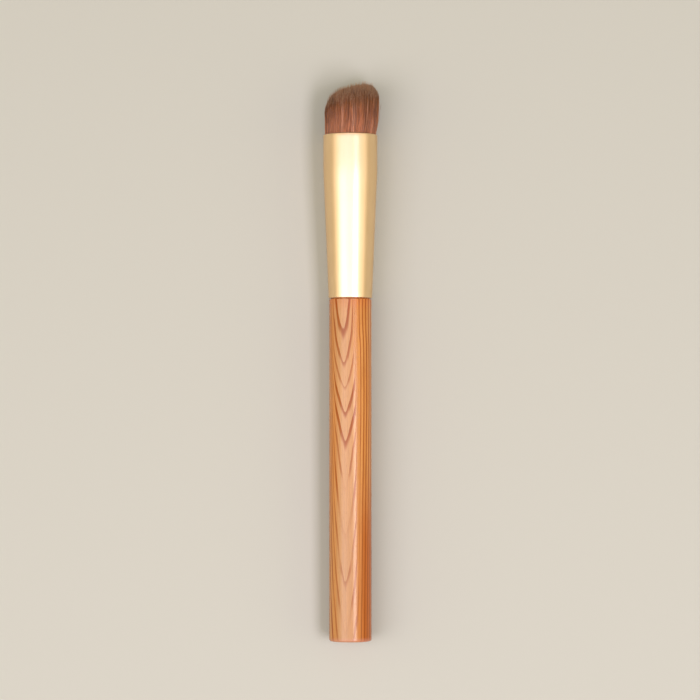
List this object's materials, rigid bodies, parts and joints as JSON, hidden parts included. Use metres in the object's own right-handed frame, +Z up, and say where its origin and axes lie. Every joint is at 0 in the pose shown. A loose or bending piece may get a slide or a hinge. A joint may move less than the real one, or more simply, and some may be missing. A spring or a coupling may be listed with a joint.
{
  "type": "concealer brush",
  "caption": "Makeup brush with a straight round wooden handle, a flared metal ferrule and a dense, slanted dome of short bristles, for applying and blending concealer.",
  "frame": {"origin": "on the table under the middle of the brush, as it lies at rest on its handle and its ferrule", "axes": "+Y from the flat end of the handle towards the tips of the bristles, +Z up, and +X towards the higher side of the slanted bristle dome"},
  "size_m": [0.015, 0.15, 0.0147],
  "materials": {
    "handle_wood": "satin",
    "ferrule_brass": "satin",
    "bristle_hair": "satin",
    "binding_thread": "matte",
    "cast_resin": "gloss",
    "cured_glue": "satin"
  },
  "bodies": {
    "root": {"handle": "handle_wood", "ferrule": "ferrule_brass", "bristles": "bristle_hair", "binding_thread": "binding_thread", "resin_plug": "cast_resin", "glue_bead_1": "cured_glue", "glue_bead_2": "cured_glue", "glue_bead_3": "cured_glue"}
  },
  "joints": []
}
